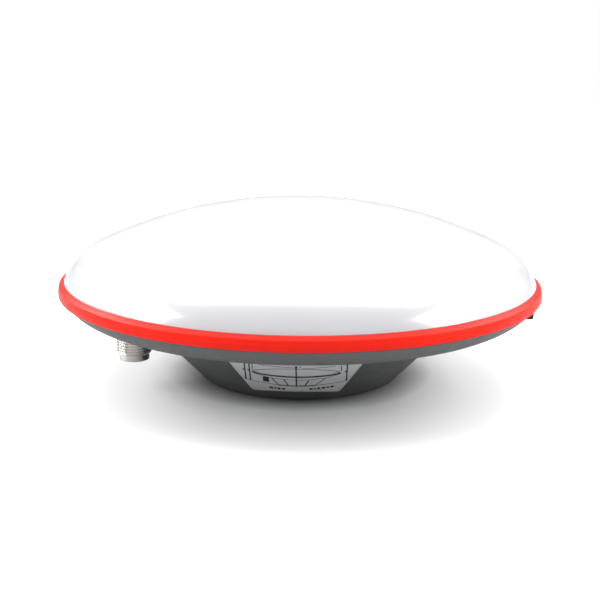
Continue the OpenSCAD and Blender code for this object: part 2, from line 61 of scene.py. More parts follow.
# %% Sizes read from the frame
ring_low, ring_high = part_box("bumper_ring")
dielectric_low, dielectric_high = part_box("tnc_insulator")

RING_R = round(ring_high.x, 4)
RING_Z = ring_low.z
DOME_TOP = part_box("radome")[1].z
DOME_RIM_R = 78 * MM
DOME_RIM_Z = RING_Z + 4.4 * MM
INSERT_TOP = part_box("pole_insert")[1].z
JACK = (dielectric_low + dielectric_high) / 2
JACK.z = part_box("tnc_body")[0].z
JACK_TURN = math.atan2(JACK.y, JACK.x)
print(f"ring radius {RING_R:.4f}, dome top {DOME_TOP:.4f}, jack at {JACK.x:.4f}, {JACK.y:.4f}")

# %% [markdown]
# ## The camera
# A round instrument reads best through a long lens from a little above: the rim
# becomes a thin ellipse and the cone below it still shows. The camera could be
# placed by hand, but a distance, a rise and a turn round one aim point are
# easier to adjust one at a time. It stands five ring radii away, a trace to the
# label's right, and leans half a degree, as a hand-levelled tripod does.

# %% Camera
CAMERA_DISTANCE = 5 * RING_R
CAMERA_RISE = math.radians(13.72)
CAMERA_TURN = math.radians(-88.4)
CAMERA_LEAN = math.radians(0.57)
CAMERA_LENS = 70.95  # millimetres, as Blender counts lenses and sensors
SENSOR_WIDTH = 36
AIM = Vector((0, 0, 24.4 * MM))

camera_data = bpy.data.cameras.new("studio_camera")
camera_data.lens = CAMERA_LENS
camera_data.sensor_width = SENSOR_WIDTH
camera = bpy.data.objects.new("studio_camera", camera_data)
bpy.context.scene.collection.objects.link(camera)
sight = Vector((
    math.cos(CAMERA_RISE) * math.cos(CAMERA_TURN),
    math.cos(CAMERA_RISE) * math.sin(CAMERA_TURN),
    math.sin(CAMERA_RISE),
))
camera.location = AIM + sight * CAMERA_DISTANCE
facing = (-sight).to_track_quat("-Z", "Y").to_matrix()
camera.rotation_euler = (facing @ Matrix.Rotation(CAMERA_LEAN, 3, "Z")).to_euler()
bpy.context.scene.camera = camera
print("camera at", [round(v, 3) for v in camera.location])

# %% [markdown]
# ## Node helpers for materials
# A finish is more than a colour: paint has grain, plating has haze, rubber has
# bloom. Each helper below adds one such layer to a material's node tree. They
# all read the object's own coordinates in metres, so a pattern keeps its real
# size, and a value that is the same everywhere is set on the shader itself.

# %% Start a finish
def start_finish(name, colour, roughness, metallic=0.0, **sockets):
    material = bpy.data.materials.new(name)
    material.use_nodes = True
    shader = material.node_tree.nodes["Principled BSDF"]
    shader.inputs["Base Color"].default_value = (*colour, 1)
    shader.inputs["Roughness"].default_value = roughness
    shader.inputs["Metallic"].default_value = metallic
    for socket, value in sockets.items():
        shader.inputs[socket.replace("_", " ")].default_value = value
    material.diffuse_color = (*colour, 1)
    return material, shader


print("a new finish starts as one Principled shader")


# %% Add nodes and wires
def node_of(material, kind, **settings):
    node = material.node_tree.nodes.new(kind)
    for key, value in settings.items():
        setattr(node, key, value)
    return node


def wire(material, source, target):
    material.node_tree.links.new(source, target)


def place_of(material):
    return node_of(material, "ShaderNodeTexCoord").outputs["Object"]


print("every pattern is placed by the object's own coordinates")


# %% Patterns: noise and turning marks
def noise(material, grain, detail=4, vector=None):
    """Noise whose blotches are about grain metres across."""
    texture = node_of(material, "ShaderNodeTexNoise")
    texture.inputs["Scale"].default_value = 1 / grain
    texture.inputs["Detail"].default_value = detail
    texture.inputs["Roughness"].default_value = 0.55
    wire(material, vector or place_of(material), texture.inputs["Vector"])
    return texture.outputs["Fac"]


def turning_marks(material, axis, pitch):
    """Fine rings round a vertical axis, as a lathe tool leaves them."""
    offset = node_of(material, "ShaderNodeVectorMath", operation="SUBTRACT")
    wire(material, place_of(material), offset.inputs[0])
    offset.inputs[1].default_value = (axis.x, axis.y, 0)
    parts = node_of(material, "ShaderNodeSeparateXYZ")
    wire(material, offset.outputs["Vector"], parts.inputs[0])
    flat = node_of(material, "ShaderNodeCombineXYZ")
    wire(material, parts.outputs["X"], flat.inputs["X"])
    wire(material, parts.outputs["Y"], flat.inputs["Y"])
    reach = node_of(material, "ShaderNodeVectorMath", operation="LENGTH")
    wire(material, flat.outputs["Vector"], reach.inputs[0])
    section = node_of(material, "ShaderNodeCombineXYZ")
    wire(material, reach.outputs["Value"], section.inputs["X"])
    wire(material, parts.outputs["Z"], section.inputs["Y"])
    return noise(material, pitch, 3, section.outputs["Vector"])


print("a 0.05 mm pitch means a noise scale of", round(1 / (0.05 * MM)))


# %% Layers: ranges, colour shifts and relief
def ranged(material, value, low, high, start=0.3, end=0.7):
    """value, taken from start to end, spread over low to high."""
    spread = node_of(material, "ShaderNodeMapRange")
    wire(material, value, spread.inputs["Value"])
    spread.inputs["From Min"].default_value = start
    spread.inputs["From Max"].default_value = end
    spread.inputs["To Min"].default_value = low
    spread.inputs["To Max"].default_value = high
    return spread.outputs["Result"]


def tinted(material, value, low, high):
    """A colour that runs from low to high as value goes from 0 to 1."""
    mix = node_of(material, "ShaderNodeMix", data_type="RGBA")
    wire(material, value, mix.inputs["Factor"])
    mix.inputs["A"].default_value = (*low, 1)
    mix.inputs["B"].default_value = (*high, 1)
    return mix.outputs["Result"]


def relief(material, shader, height, depth):
    """Adds a bump of depth metres on top of any bump already there."""
    bump = node_of(material, "ShaderNodeBump")
    bump.inputs["Strength"].default_value = 1.0
    bump.inputs["Distance"].default_value = depth
    wire(material, height, bump.inputs["Height"])
    earlier = shader.inputs["Normal"].links
    if earlier:
        wire(material, earlier[0].from_socket, bump.inputs["Normal"])
    wire(material, bump.outputs["Normal"], shader.inputs["Normal"])


def scaled(colour, factor):
    return tuple(min(1.0, channel * factor) for channel in colour)


print("a tenth brighter than mid grey is", scaled((0.5, 0.5, 0.5), 1.1))


# %% The three usual layers
def weathered(material, shader, colour, grain, spread, roughness, grain_depth):
    """A slight colour drift, uneven gloss and a fine grain, each finer than the last."""
    drift = ranged(material, noise(material, grain * 40, 3), 0, 1)
    shade = tinted(material, drift, scaled(colour, 1 - spread), scaled(colour, 1 + spread))
    wire(material, shade, shader.inputs["Base Color"])
    low, high = roughness
    haze = ranged(material, noise(material, grain * 12, 5), low, high)
    wire(material, haze, shader.inputs["Roughness"])
    relief(material, shader, noise(material, grain, 2), grain_depth)


print("drift, haze and grain are in steps of 40, 12 and 1 grains")

# %% [markdown]
# ## Turned shapes
# Nearly everything here was turned on a lathe or moulded in a round tool, so
# one helper does most of the modelling: it spins an outline round the vertical
# axis. Corners are rounded first, because a real edge is never perfectly sharp
# and the thin highlight along it is what makes a part look solid.

# %% Outline helpers
def arc(centre, radius, start, end, steps):
    """Points on an arc, angles in degrees from the outward direction."""
    turns = [math.radians(start + (end - start) * i / steps) for i in range(steps + 1)]
    return [(centre[0] + radius * math.cos(t), centre[1] + radius * math.sin(t)) for t in turns]


def rounded(corners, steps=4):
    """Rounds a closed outline. Each corner is (radius, height, rounding)."""
    outline = []
    for i, (x, z, rounding) in enumerate(corners):
        here = Vector((x, z))
        before = Vector(corners[i - 1][:2]) - here
        after = Vector(corners[(i + 1) % len(corners)][:2]) - here
        if rounding == 0:
            outline.append((x, z))
            continue
        half = before.angle(after) / 2
        reach = min(rounding / math.tan(half), 0.45 * before.length, 0.45 * after.length)
        rounding = reach * math.tan(half)
        bisector = (before.normalized() + after.normalized()).normalized()
        centre = here + bisector * rounding / math.sin(half)
        first = here + before.normalized() * reach - centre
        last = here + after.normalized() * reach - centre
        sweep = math.atan2(first.x * last.y - first.y * last.x, first.dot(last))
        for step in range(steps + 1):
            turn = sweep * step / steps
            point = centre + Matrix.Rotation(turn, 2) @ first
            outline.append((point.x, point.y))
    return outline


print("a quarter arc in six steps has", len(arc((0, 0), 1, 0, 90, 6)), "points")


# %% Hexagons as a turned radius
def across_flats(half_width, turn=0.0, corner=1.0):
    """Radius of a turned hexagon at an angle, its corners cut back to corner metres."""
    sixth = math.pi / 3
    def radius(angle):
        return min(half_width / math.cos((angle - turn + sixth / 2) % sixth - sixth / 2), corner)
    return radius


print("corner of a 14 mm hexagon, in mm:", round(across_flats(7 * MM)(math.pi / 6) / MM, 2))


# %% Spin an outline
def add_turned(mesh, outline, segments, centre, closed):
    """Spins (radius, height) points. A radius may be a function of the angle."""
    rows = []
    for radius, height in outline:
        if radius == 0:
            rows.append([mesh.verts.new((centre.x, centre.y, height))])
            continue
        row = []
        for i in range(segments):
            angle = 2 * math.pi * i / segments
            reach = radius(angle) if callable(radius) else radius
            row.append(mesh.verts.new((
                centre.x + reach * math.cos(angle), centre.y + reach * math.sin(angle), height)))
        rows.append(row)
    pairs = list(zip(rows, rows[1:]))
    if closed:
        pairs.append((rows[-1], rows[0]))
    for low, high in pairs:
        for i in range(segments):
            j = (i + 1) % segments
            if len(low) == 1:
                mesh.faces.new((low[0], high[j], high[i]))
            elif len(high) == 1:
                mesh.faces.new((low[i], low[j], high[0]))
            else:
                mesh.faces.new((low[i], low[j], high[j], high[i]))


print("one spun outline point becomes a ring of vertices, or one vertex on the axis")


# %% From a mesh to a dressed piece
SHARP = 35  # degrees: edges that turn more than this stay crisp


def piece_from(name, mesh, sharp=SHARP):
    """Turns a bmesh into a smooth-shaded object with true edges left sharp."""
    bmesh.ops.recalc_face_normals(mesh, faces=mesh.faces)
    data = bpy.data.meshes.new(name)
    mesh.to_mesh(data)
    mesh.free()
    data.polygons.foreach_set("use_smooth", [True] * len(data.polygons))
    data.set_sharp_from_angle(angle=math.radians(sharp))
    piece = bpy.data.objects.new(name, data)
    bpy.context.scene.collection.objects.link(piece)
    return piece


AXIS = Vector((0, 0))


def turned(name, outline, segments, centre=AXIS, sharp=SHARP):
    """A piece of its own from one outline, closed when it never meets the axis."""
    mesh = bmesh.new()
    closed = outline[0][0] != 0 or outline[-1][0] != 0
    add_turned(mesh, outline, segments, centre, closed)
    return piece_from(name, mesh, sharp)


def dress(piece, material, slot, *nodes):
    """Gives a piece its finish and its body, and hides the frame nodes that it stands for."""
    piece.data.materials.clear()
    piece.data.materials.append(material)
    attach(piece, "root")
    if nodes:
        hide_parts(*nodes)
    print(f"{piece.name}: {len(piece.data.polygons)} faces")


print("nothing is dressed yet, so the scene holds", len(bpy.data.materials), "materials")

# %% [markdown]
# ## Screw threads
# A thread is a small ridge wound round a cylinder. A profile could be swept
# along a helix, but its ends then need closing by hand. Here the rows of a
# turned outline are given a radius that depends on the angle instead, which
# keeps the mesh closed and its rows tidy. The ridge fades out at both ends, as
# a real thread's lead-in does.

# %% Thread rows
def thread_rows(root, crest, pitch, start, end, rows_per_turn=20):
    """Outline rows from start to end, right-handed, ridge between root and crest."""
    count = max(2, round(abs(end - start) / pitch * rows_per_turn))
    low, high = min(start, end), max(start, end)
    lead_in = 0.6 * pitch
    groove = 0.06  # share of a turn that is flat at the root
    flank = 0.7
    rows = []
    for i in range(count + 1):
        height = start + (end - start) * i / count
        fade = min(1, (height - low) / lead_in, (high - height) / lead_in)
        def radius(angle, height=height, fade=fade):
            turn = (height / pitch - angle / (2 * math.pi)) % 1
            ridge = min(1, max(0, (abs(2 * turn - 1) - groove) / flank))
            return root + (crest - root) * fade * ridge * ridge * (3 - 2 * ridge)
        rows.append((radius, height))
    return rows


print("rows in two turns of thread:", len(thread_rows(1, 2, 1, 0, 2)))

# %% [markdown]
# ## The radome
# The dome is injection-moulded from a plastic that radio passes through, white
# so that it stays cool in the sun. A squashed sphere would be quick but has no
# shoulder. The real section is two arcs: a very flat spherical cap and a tight
# shoulder that meets it without a kink. Both arcs are solved from the rim, so
# the cap's height has to come out at the frame's own height, which checks the
# numbers.

# %% Radome outline
CAP_R = 164.3 * MM
SHOULDER_R = 18.1 * MM
RIM_SLOPE = math.radians(68.8)
DOME_WALL = 2.5 * MM
JOINT_R = RING_R - 3.6 * MM
JOINT_Z = RING_Z + 1.4 * MM
FLANGE_R = JOINT_R - 4.8 * MM
FLANGE_Z = RING_Z + 4 * MM
RING_LIP_Z = DOME_RIM_Z - 0.1 * MM

shoulder = (
    DOME_RIM_R - SHOULDER_R * math.sin(RIM_SLOPE),
    DOME_RIM_Z - SHOULDER_R * math.cos(RIM_SLOPE),
)
cap_drop = math.sqrt((CAP_R - SHOULDER_R) ** 2 - shoulder[0] ** 2)
cap = (0, shoulder[1] - cap_drop)
join_angle = math.degrees(math.atan2(cap_drop, shoulder[0]))
rim_angle = 90 - math.degrees(RIM_SLOPE)
outer = arc(cap, CAP_R, 90, join_angle, 56) + arc(shoulder, SHOULDER_R, join_angle, rim_angle, 40)[1:]
inner_end = math.degrees(math.asin((FLANGE_Z - shoulder[1]) / (SHOULDER_R - DOME_WALL)))
inner = (
    arc(cap, CAP_R - DOME_WALL, 90, join_angle, 32)
    + arc(shoulder, SHOULDER_R - DOME_WALL, join_angle, inner_end, 20)[1:]
)
edge = 0.25 * MM
skirt = [
    (DOME_RIM_R + 0.02 * MM, RING_LIP_Z + edge / 2),
    (DOME_RIM_R - edge / 2, RING_LIP_Z),
    (JOINT_R, RING_LIP_Z),
    (JOINT_R, JOINT_Z),
    (FLANGE_R, JOINT_Z),
    (FLANGE_R, FLANGE_Z),
]
outer[0] = (0, outer[0][1])
inner[0] = (0, inner[0][1])
dome_outline = outer + skirt + inner[::-1]
print(f"cap top comes out at {outer[0][1]:.5f}, the frame says {DOME_TOP:.5f}")

# %% [markdown]
# Inside, six screw bosses hang from the dome, each braced by a web. They never
# show from outside, but they are part of the moulding and give it its true
# inner shape, so they are built too and joined to the same mesh.

# %% Radome mesh
ROUND = 288  # segments of the large turned pieces
STATIONS = [JACK_TURN + math.radians(30 + 60 * i) for i in range(6)]
BOSS_ORBIT = 64 * MM
BOSS_R = 3.6 * MM
BOSS_LOW = 27 * MM
PILOT_R = 2.42 * MM
PILOT_END_R = 1.5 * MM
PILOT_TOP = BOSS_LOW + 5.7 * MM
WEB_OUT = 9 * MM
WEB_HALF = 0.8 * MM


def polar(reach, turn):
    return Vector((math.cos(turn), math.sin(turn))) * reach


def under_dome(reach):
    """Height of the middle of the dome's wall at a distance from its axis."""
    return cap[1] + math.sqrt((CAP_R - DOME_WALL / 2) ** 2 - reach ** 2)


def add_block(mesh, low, high, turn, middle):
    """A box between two corners, turned about the vertical axis through the origin."""
    made = bmesh.ops.create_cube(mesh, size=1)["verts"]
    size = Vector(high) - Vector(low)
    for vert in made:
        vert.co = Vector(low) + Vector([(c + 0.5) * s for c, s in zip(vert.co, size)])
        vert.co += Vector(middle)
    bmesh.ops.rotate(mesh, verts=made, cent=(0, 0, 0), matrix=Matrix.Rotation(turn, 3, "Z"))
    return made


dome_mesh = bmesh.new()
add_turned(dome_mesh, dome_outline, ROUND, AXIS, False)
for station in STATIONS:
    top = under_dome(BOSS_ORBIT + BOSS_R)
    boss = rounded([
        (PILOT_R, BOSS_LOW, 0), (BOSS_R, BOSS_LOW, 0.2 * MM), (BOSS_R, top, 0),
        (PILOT_END_R, top, 0), (PILOT_END_R, PILOT_TOP, 0), (PILOT_R, PILOT_TOP, 0)])
    add_turned(dome_mesh, boss, 32, polar(BOSS_ORBIT, station), True)
    web_low = (BOSS_R - 0.5 * MM, -WEB_HALF, FLANGE_Z + 0.5 * MM)
    web_high = (WEB_OUT, WEB_HALF, under_dome(BOSS_ORBIT + WEB_OUT) - 2 * MM)
    add_block(dome_mesh, web_low, web_high, station, (BOSS_ORBIT, 0, 0))
dome = piece_from("radome_shell", dome_mesh)

# %% [markdown]
# Gloss plastic is a white body under a clear, slightly wavy skin. The skin's
# long, shallow waves come from the mould and bend a reflection a little, and a
# faint haze of handling marks keeps the gloss from looking like glass.

# %% Radome finish
dome_white = (0.615, 0.613, 0.642)
white, white_shader = start_finish("radome_white", dome_white, 0.16, IOR=1.5)
weathered(white, white_shader, dome_white, 0.6 * MM, 0.012, (0.14, 0.22), 0.6e-6)
relief(white, white_shader, noise(white, 24 * MM, 1), 25e-6)
white_shader.inputs["Coat Weight"].default_value = 0.35
white_shader.inputs["Coat Roughness"].default_value = 0.1
white_shader.inputs["Subsurface Weight"].default_value = 0.08
white_shader.inputs["Subsurface Scale"].default_value = 2 * MM
dress(dome, white, "radome_white", "radome")

# %% [markdown]
# ## The bumper ring
# The ring is a soft elastomer band stretched over the rim, where it takes the
# knocks and hides the joint. Its outer face leans in a little for the mould,
# and its top slopes down from the dome so that rain runs off. A squashed torus
# would come close, but it has no crease, and the crease's thin highlight is the
# first thing seen, so the band is one more spun outline.

# %% Bumper ring
RING_CREASE_Z = RING_Z + 3.3 * MM
ring_outline = rounded([
    (JOINT_R, RING_Z, 0.1 * MM),
    (RING_R, RING_Z, 0.4 * MM),
    (RING_R + 0.06 * MM, RING_Z + 1.6 * MM, 2.5 * MM),
    (RING_R - 0.3 * MM, RING_CREASE_Z, 0.5 * MM),
    (DOME_RIM_R + 0.12 * MM, RING_LIP_Z + 0.02 * MM, 0.12 * MM),
    (DOME_RIM_R - 0.05 * MM, RING_LIP_Z - 0.05 * MM, 0),
    (JOINT_R, RING_LIP_Z - 0.05 * MM, 0.1 * MM),
], 6)
bumper = turned("bumper_band", ring_outline, ROUND)
print("height of the band, in mm:", round((RING_LIP_Z - RING_Z) / MM, 2))

# %% [markdown]
# Moulded elastomer is strongly coloured and only half shiny. It lets a little
# light in under its skin, which a plain colour can't show, so some subsurface
# scattering is mixed in and the mirror part is kept weak.

# %% Bumper ring finish

rubber_red = (1.0, 0.02, 0.009)
red, red_shader = start_finish("ring_red", rubber_red, 0.38, IOR=1.47)
weathered(red, red_shader, rubber_red, 0.25 * MM, 0.06, (0.3, 0.46), 5e-6)
red_shader.inputs["Specular IOR Level"].default_value = 0.14
red_shader.inputs["Subsurface Weight"].default_value = 0.12
red_shader.inputs["Subsurface Scale"].default_value = 1.5 * MM
dress(bumper, red, "ring_red", "bumper_ring")

# %% [markdown]
# ## Metal, paint and plastic for the frame's own nodes
# The solids that keep their frame shape still need finishes. Each one below is
# the process that made it: sprayed paint over a casting, turned steel, drawn
# tin plate, etched copper, moulded chip plastic. Each could have a node tree of
# its own, but they differ only in colour, gloss and grain, so one recipe with
# different numbers serves them all.

# %% Finishes made by one recipe
def simple_finish(name, colour, roughness, grain, depth, spread=0.05, metallic=0.0, **sockets):
    material, shader = start_finish(name, colour, sum(roughness) / 2, metallic, **sockets)
    weathered(material, shader, colour, grain, spread, roughness, depth)
    return material, shader


paint, _ = simple_finish(
    "housing_grey", (0.125, 0.13, 0.133), (0.34, 0.5), 0.28 * MM, 9e-6, 0.08)
plate, _ = simple_finish(
    "label_grey", (0.84, 0.88, 0.88), (0.28, 0.4), 0.15 * MM, 2e-6, 0.03, 0.1)
ink, _ = simple_finish("label_ink", (0.03, 0.032, 0.034), (0.4, 0.6), 0.1 * MM, 1e-6)
lug_black, _ = simple_finish("lug_black", (0.035, 0.035, 0.037), (0.4, 0.55), 0.2 * MM, 4e-6)
vent_black, _ = simple_finish("vent_black", (0.03, 0.03, 0.03), (0.45, 0.6), 0.15 * MM, 4e-6)
seal_black, _ = simple_finish("seal_black", (0.018, 0.018, 0.018), (0.5, 0.7), 0.2 * MM, 3e-6)
chip_black, _ = simple_finish("chip_black", (0.03, 0.03, 0.032), (0.45, 0.6), 0.08 * MM, 3e-6)
ptfe, ptfe_shader = simple_finish("ptfe_white", (0.8, 0.8, 0.77), (0.35, 0.5), 0.3 * MM, 2e-6, 0.02)
ptfe_shader.inputs["Subsurface Weight"].default_value = 0.2
ptfe_shader.inputs["Subsurface Scale"].default_value = 1 * MM
ivory, _ = simple_finish("disc_ivory", (0.72, 0.66, 0.52), (0.45, 0.6), 0.4 * MM, 4e-6, 0.04)
tin, _ = simple_finish("can_tin", (0.72, 0.72, 0.7), (0.22, 0.38), 0.3 * MM, 2e-6, 0.04, 1.0)
gold, _ = simple_finish("gold", (0.9, 0.66, 0.28), (0.16, 0.3), 0.1 * MM, 1e-6, 0.04, 1.0)
copper, _ = simple_finish("patch_copper", (0.76, 0.38, 0.24), (0.24, 0.45), 0.2 * MM, 1e-6, 0.12, 1.0)
jacket, _ = simple_finish("coax_brown", (0.26, 0.11, 0.04), (0.2, 0.32), 0.3 * MM, 3e-6)
board, board_shader = simple_finish(
    "board_green", (0.02, 0.16, 0.06), (0.25, 0.4), 0.15 * MM, 3e-6, 0.12)
board_shader.inputs["Coat Weight"].default_value = 0.3
aluminium, _ = simple_finish(
    "plane_aluminium", (0.76, 0.76, 0.77), (0.26, 0.4), 0.2 * MM, 2e-6, 0.04, 1.0)
print("finishes so far:", len(bpy.data.materials))


# %% Turned and plated metals
def turned_metal(name, colour, roughness, axis, pitch, depth):
    """A bright metal whose grain runs in rings, as the lathe left it."""
    material, shader = start_finish(name, colour, roughness, 1.0)
    haze = (roughness * 0.75, roughness * 1.3)
    weathered(material, shader, colour, 0.15 * MM, 0.03, haze, 0.6e-6)
    relief(material, shader, turning_marks(material, axis, pitch), depth)
    return material


nickel = turned_metal("nickel", (0.78, 0.75, 0.71), 0.13, JACK, 0.05 * MM, 1.2e-6)
steel = turned_metal("steel", (0.6, 0.6, 0.61), 0.28, AXIS, 0.12 * MM, 2e-6)
brass = turned_metal("brass", (0.8, 0.58, 0.25), 0.25, AXIS, 0.1 * MM, 1.5e-6)
print("metals:", nickel.name, steel.name, brass.name)

# %% [markdown]
# ## The cast housing
# The lower half is a thin aluminium casting: a shallow bowl, a conical boss
# that drops to the pole, and inside them ribs, posts and screw bosses. Box
# modelling would need every rib drawn into one surface. Here the bowl and boss
# are turned from one closed outline; what stands on it or is drilled into it is
# added and cut away afterwards, in the order a foundry and a mill would do it.

# %% Housing sizes
BOSS_SLOPE = math.radians(46)
BOWL_SLOPE = math.radians(5)
FOOT_R = 33.1 * MM
BOWL_R = 15 * MM
WALL = 2.5 * MM
LIP_R = RING_R - 1.2 * MM
LIP_Z = RING_Z - 0.3 * MM
BOWL_END = math.radians(55.5)
bowl = (
    LIP_R - BOWL_R * math.sin(BOWL_END),
    LIP_Z - 0.1 * MM + BOWL_R * math.cos(BOWL_END),
)
tangent = (bowl[0] + BOWL_R * math.sin(BOWL_SLOPE), bowl[1] - BOWL_R * math.cos(BOWL_SLOPE))


def boss_r(height):
    """Outer radius of the conical boss at a height above the foot."""
    return FOOT_R + height / math.tan(BOSS_SLOPE)


def bowl_under(reach):
    """Height of the bowl's sloping underside at a distance from the axis."""
    return tangent[1] - (tangent[0] - reach) * math.tan(BOWL_SLOPE)


corner_z = bowl_under(FOOT_R) / (1 - math.tan(BOWL_SLOPE) / math.tan(BOSS_SLOPE))
inner_tangent = (
    bowl[0] + (BOWL_R - WALL) * math.sin(BOWL_SLOPE),
    bowl[1] - (BOWL_R - WALL) * math.cos(BOWL_SLOPE),
)
inner_r = JOINT_R - 3.9 * MM
inner_reach = math.degrees(math.acos((inner_r - bowl[0]) / (BOWL_R - WALL)))
HUB_R = 14 * MM
HUB_TOP = 21.5 * MM
INSERT_R = 11 * MM
FLOOR = 2.6 * MM
SEAT_R = INSERT_R + 2 * MM
SEAT_Z = 1.5 * MM
wall_run = WALL / math.sin(BOSS_SLOPE)
inner_corner_z = corner_z + WALL / math.cos(BOWL_SLOPE)
print(f"boss corner at {boss_r(corner_z):.5f}, {corner_z:.5f}")

# %% Housing outline: the boss, the bowl and the rim
before_bowl = rounded([
    (INSERT_R, HUB_TOP, 0.3 * MM),
    (INSERT_R, SEAT_Z, 0),
    (SEAT_R, SEAT_Z, 0),
    (SEAT_R, 0, 0.15 * MM),
    (FOOT_R, 0, 1.2 * MM),
    (boss_r(corner_z), corner_z, 2.5 * MM),
    (*tangent, 0),
    (LIP_R, LIP_Z, 0),
    (inner_r, LIP_Z, 0),
    (*inner_tangent, 0),
    (boss_r(inner_corner_z) - wall_run, inner_corner_z, 2 * MM),
    (boss_r(FLOOR) - wall_run, FLOOR, 2 * MM),
    (HUB_R, FLOOR, 1 * MM),
    (HUB_R, HUB_TOP, 0.4 * MM),
], 8)
at_tangent = before_bowl.index(tangent)
at_inner = before_bowl.index(inner_tangent)
GROOVE_IN = JOINT_R - 2.65 * MM
GROOVE_OUT = JOINT_R - 1.15 * MM
GROOVE_Z = JOINT_Z - 1.5 * MM
LEDGE_R = JOINT_R + 0.8 * MM
rim = rounded([
    (LIP_R - 0.15 * MM, LIP_Z - 0.3 * MM, 0),
    (LIP_R, LIP_Z, 0.15 * MM),
    (LEDGE_R, LIP_Z, 0),
    (LEDGE_R, RING_Z, 0),
    (JOINT_R, RING_Z, 0),
    (JOINT_R, JOINT_Z, 0.1 * MM),
    (GROOVE_OUT, JOINT_Z, 0),
    (GROOVE_OUT, GROOVE_Z, 0.1 * MM),
    (GROOVE_IN, GROOVE_Z, 0.1 * MM),
    (GROOVE_IN, JOINT_Z, 0),
    (inner_r, JOINT_Z, 0.1 * MM),
    (inner_r, LIP_Z, 0),
], 3)
bowl_start = math.degrees(BOWL_SLOPE) - 90
bowl_stop = math.degrees(BOWL_END) - 90 - 1
housing_outline = (
    before_bowl[:at_tangent]
    + arc(bowl, BOWL_R, bowl_start, bowl_stop, 30)
    + rim
    + arc(bowl, BOWL_R - WALL, -inner_reach, bowl_start, 12)
    + before_bowl[at_inner + 1:]
)
print("points in the housing's outline:", len(housing_outline))

# %% [markdown]
# A boolean cut leaves exact edges, which is what a drill leaves too. The helper
# below joins what stands on a casting, cuts what is drilled, and throws the
# tools away, so only the finished part stays in the scene.

# %% Join and cut
def applied(piece, tool, operation):
    """Applies one boolean to the piece and removes the tool."""
    step = piece.modifiers.new(operation.lower(), "BOOLEAN")
    step.operation = operation
    step.solver = "EXACT"
    step.object = tool
    graph = bpy.context.evaluated_depsgraph_get()
    shaped = bpy.data.meshes.new_from_object(piece.evaluated_get(graph))
    piece.modifiers.clear()
    piece.data = shaped
    bpy.data.objects.remove(tool)


def softened(piece):
    """Smooth shading again after a cut, with the true edges left sharp."""
    piece.data.polygons.foreach_set("use_smooth", [True] * len(piece.data.polygons))
    piece.data.set_sharp_from_angle(angle=math.radians(SHARP))


def add_slab(mesh, outline, thickness, turn):
    """A plate of (radius, height) outline, standing on a radius of the part."""
    sides = []
    for side in (-1, 1):
        sides.append([mesh.verts.new((r, side * thickness / 2, z)) for r, z in outline])
    near, far = sides
    mesh.faces.new(near)
    mesh.faces.new(far[::-1])
    for i in range(len(outline)):
        j = (i + 1) % len(outline)
        mesh.faces.new((near[j], near[i], far[i], far[j]))
    bmesh.ops.rotate(mesh, verts=near + far, cent=(0, 0, 0), matrix=Matrix.Rotation(turn, 3, "Z"))


def add_drum(mesh, radius, low, high, centre, segments=48):
    add_turned(mesh, [(0, low), (radius, low), (radius, high), (0, high)], segments, centre, False)


print("booleans are exact, so a cut lands where its tool stands")

# %% [markdown]
# The seat of the jack is a raised pad inside and a milled spot face outside.
# The vent sits opposite the jack, and the closing screws sink into
# counterbores whose mouths are broken by a small chamfer.

# %% Housing piece
VENT = polar(60 * MM, JACK_TURN + math.pi)
POST_ORBIT = 53 * MM
RIB_IN = 13 * MM
RIB_LOW = 1.9 * MM
RIB_HIGH = 16.6 * MM
RIB_THICK = 2 * MM
PAD_TOP = 24.6 * MM
# Drums are (radius, low, high).
SCREW_BOSS = (5 * MM, 22.9 * MM, BOSS_LOW)
BOARD_POST = (3.2 * MM, 22.4 * MM, 32 * MM)
JACK_PAD = (9 * MM, 20.6 * MM, PAD_TOP)
VENT_PAD = (5.2 * MM, 22.5 * MM, PAD_TOP)

body = bmesh.new()
add_turned(body, housing_outline, ROUND, AXIS, True)
housing = piece_from("housing_casting", body)

added = bmesh.new()
rib = [(RIB_IN, RIB_LOW), (33 * MM, RIB_LOW), (47.5 * MM, RIB_HIGH), (RIB_IN, RIB_HIGH)]
for station in STATIONS:
    add_slab(added, rib, RIB_THICK, station)
    add_drum(added, *SCREW_BOSS, polar(BOSS_ORBIT, station))
    add_drum(added, *BOARD_POST, polar(POST_ORBIT, station))
add_drum(added, *JACK_PAD, JACK.xy, 64)
add_drum(added, *VENT_PAD, VENT)
applied(housing, piece_from("added", added), "UNION")
print("faces with ribs, bosses and posts:", len(housing.data.polygons))

# %% Drill the housing
COUNTERBORE_R = 3.2 * MM
COUNTERBORE_MOUTH_R = 3.6 * MM
COUNTERBORE_TOP = 25.2 * MM
CLEARANCE_R = 1.7 * MM
TAPPED_POST = (1.5 * MM, 25 * MM, 33 * MM)
VENT_BORE = (3.1 * MM, 19 * MM, 26 * MM)
SPOT_FACE_R = 8.2 * MM
SPOT_FACE_Z = 20.2 * MM
JACK_BORE_R = 5.3 * MM

drilled = bmesh.new()
bore = [
    (0, 20 * MM), (COUNTERBORE_MOUTH_R, 20 * MM), (COUNTERBORE_MOUTH_R, 21.6 * MM),
    (COUNTERBORE_R, 22 * MM), (COUNTERBORE_R, COUNTERBORE_TOP),
    (CLEARANCE_R, COUNTERBORE_TOP), (CLEARANCE_R, 29 * MM), (0, 29 * MM)]
for station in STATIONS:
    add_turned(drilled, bore, 48, polar(BOSS_ORBIT, station), False)
    add_drum(drilled, *TAPPED_POST, polar(POST_ORBIT, station), 24)
seat = [
    (0, 10 * MM), (SPOT_FACE_R, 10 * MM), (SPOT_FACE_R, SPOT_FACE_Z),
    (JACK_BORE_R, SPOT_FACE_Z), (JACK_BORE_R, 25 * MM), (0, 25 * MM)]
add_turned(drilled, seat, 96, JACK.xy, False)
add_drum(drilled, *VENT_BORE, VENT, 64)
applied(housing, piece_from("drilled", drilled), "DIFFERENCE")
